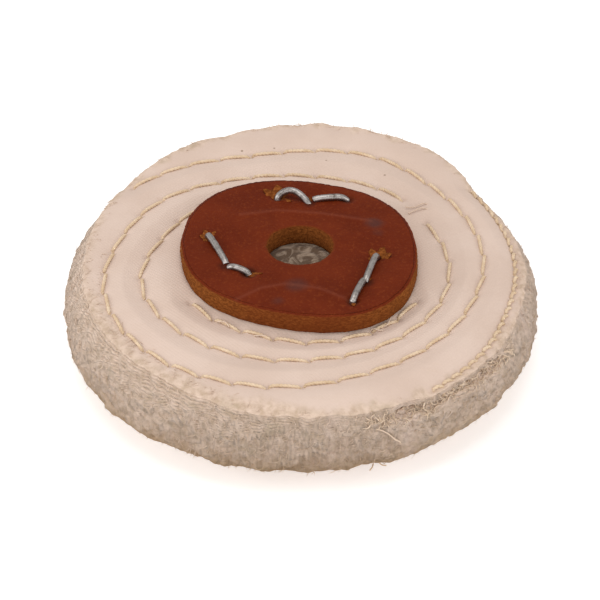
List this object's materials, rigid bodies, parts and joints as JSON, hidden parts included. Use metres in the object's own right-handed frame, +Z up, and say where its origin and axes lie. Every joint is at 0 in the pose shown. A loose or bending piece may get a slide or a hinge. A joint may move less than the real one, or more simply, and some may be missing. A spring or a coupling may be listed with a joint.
{
  "type": "stitched cotton polishing wheel",
  "caption": "Round stitched cotton polishing wheel with leather centre washers held by wire staples, for polishing stones and metal on a spindle.",
  "frame": {"origin": "on the wheel's axis, at the underside of the bottom leather washer, which is the plane the wheel rests on", "axes": "+Z up along the spindle axis, from the staple crowns to the clinched staple ends; +X to the right and +Y away from the side with the left and right staples"},
  "size_m": [0.1, 0.1, 0.0272],
  "materials": {
    "calico": "unbleached plain-weave cotton, matt, with a brushed fluffy rim",
    "washer_leather": "red-brown grain side with a soft sheen and a raw ochre fibrous cut edge",
    "staple_wire": "dull drawn steel wire with die marks",
    "sewing_thread": "waxed twisted cotton thread, slightly yellower than the cloth"
  },
  "bodies": {
    "root": {"cloth_ply_01": "calico", "cloth_ply_02": "calico", "cloth_ply_03": "calico", "cloth_ply_04": "calico", "cloth_ply_05": "calico", "cloth_ply_06": "calico", "cloth_ply_07": "calico", "cloth_ply_08": "calico", "cloth_ply_09": "calico", "cloth_ply_10": "calico", "cloth_ply_11": "calico", "cloth_ply_12": "calico", "cloth_ply_13": "calico", "cloth_ply_14": "calico", "cloth_ply_15": "calico", "cloth_ply_16": "calico", "cloth_ply_17": "calico", "cloth_ply_18": "calico", "cloth_ply_19": "calico", "cloth_ply_20": "calico", "cloth_ply_21": "calico", "cloth_ply_22": "calico", "cloth_ply_23": "calico", "cloth_ply_24": "calico", "cloth_ply_25": "calico", "cloth_ply_26": "calico", "cloth_ply_27": "calico", "cloth_ply_28": "calico", "cloth_ply_29": "calico", "cloth_ply_30": "calico", "cloth_ply_31": "calico", "cloth_ply_32": "calico", "cloth_ply_33": "calico", "cloth_ply_34": "calico", "cloth_ply_35": "calico", "cloth_ply_36": "calico", "cloth_ply_37": "calico", "cloth_ply_38": "calico", "cloth_ply_39": "calico", "cloth_ply_40": "calico", "cloth_ply_41": "calico", "cloth_ply_42": "calico", "leather_washer_top": "washer_leather", "leather_washer_bottom": "washer_leather", "wire_staple_left": "staple_wire", "wire_staple_back": "staple_wire", "wire_staple_right": "staple_wire", "needle_thread_rim": "sewing_thread", "needle_thread_middle": "sewing_thread", "needle_thread_inner": "sewing_thread", "needle_thread_washer_edge": "sewing_thread", "bobbin_thread_rim": "sewing_thread", "bobbin_thread_middle": "sewing_thread", "bobbin_thread_inner": "sewing_thread", "bobbin_thread_washer_edge": "sewing_thread"}
  },
  "joints": []
}
